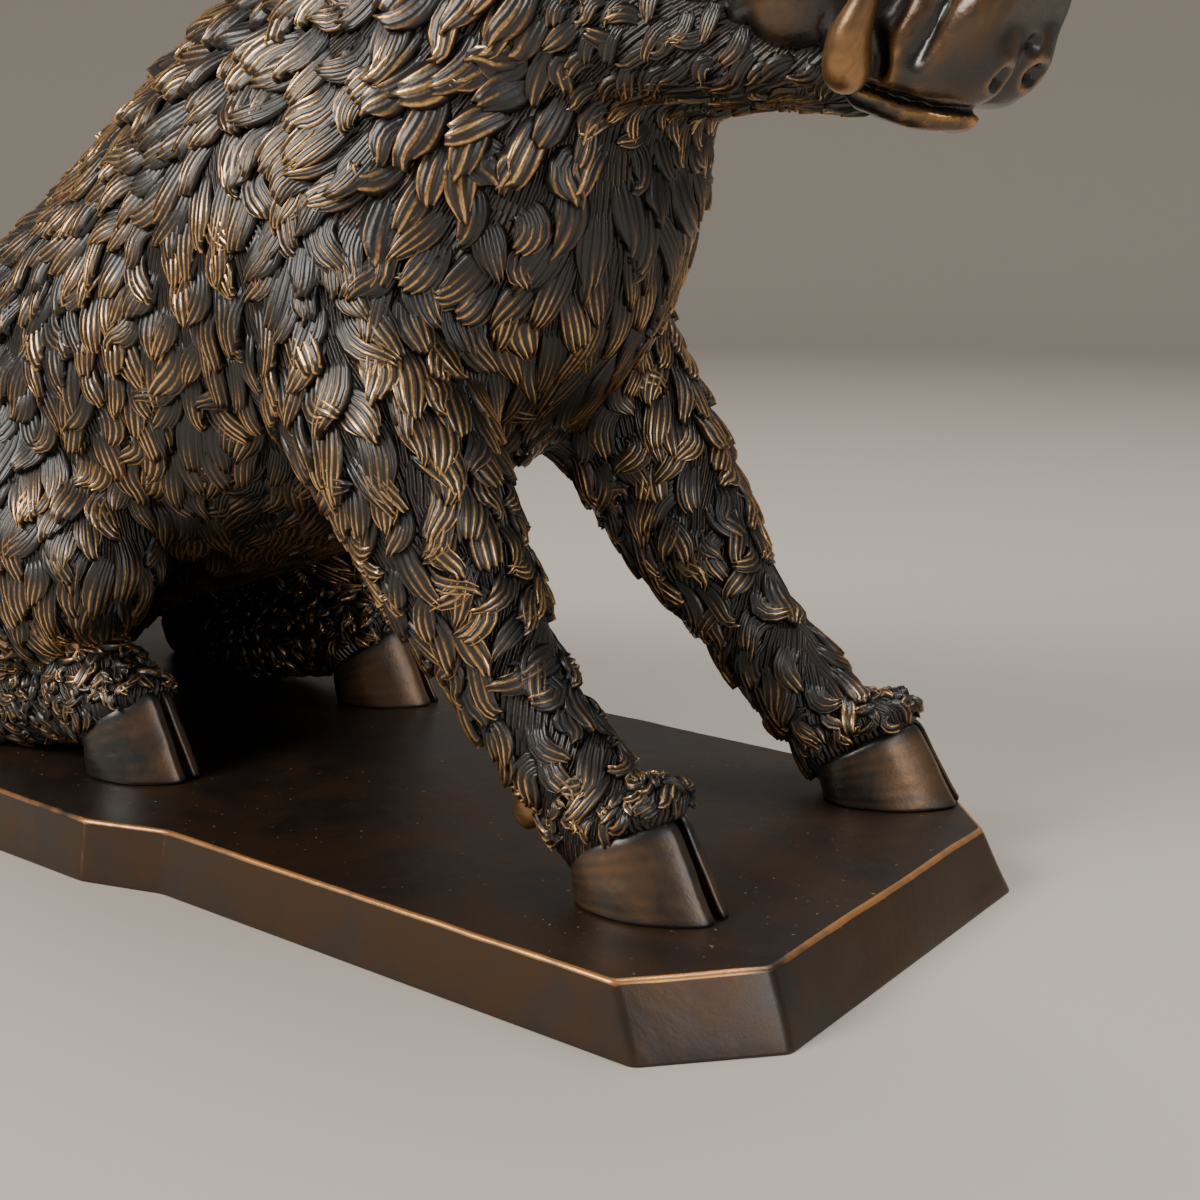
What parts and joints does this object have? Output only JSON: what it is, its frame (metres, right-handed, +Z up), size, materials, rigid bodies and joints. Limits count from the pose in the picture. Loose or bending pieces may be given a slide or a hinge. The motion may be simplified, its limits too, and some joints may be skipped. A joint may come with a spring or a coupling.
{
  "type": "boar sculpture",
  "caption": "Seated wild boar in dark patinated bronze with shaggy locks of hair, propped on straight forelegs on a stepped, chamfered plinth.",
  "frame": {"origin": "middle of the plinth's underside", "axes": "+X the way the boar faces, along the plinth; +Y its left side; +Z up"},
  "size_m": [0.4802, 0.19, 0.3183],
  "materials": {
    "boar_bronze": "dark brown patina, golden on the worn ridges of the hair",
    "plinth_bronze": "near-black satin patina with warm worn edges"
  },
  "bodies": {
    "root": {"boar": "boar_bronze", "plinth": "plinth_bronze"}
  },
  "joints": []
}
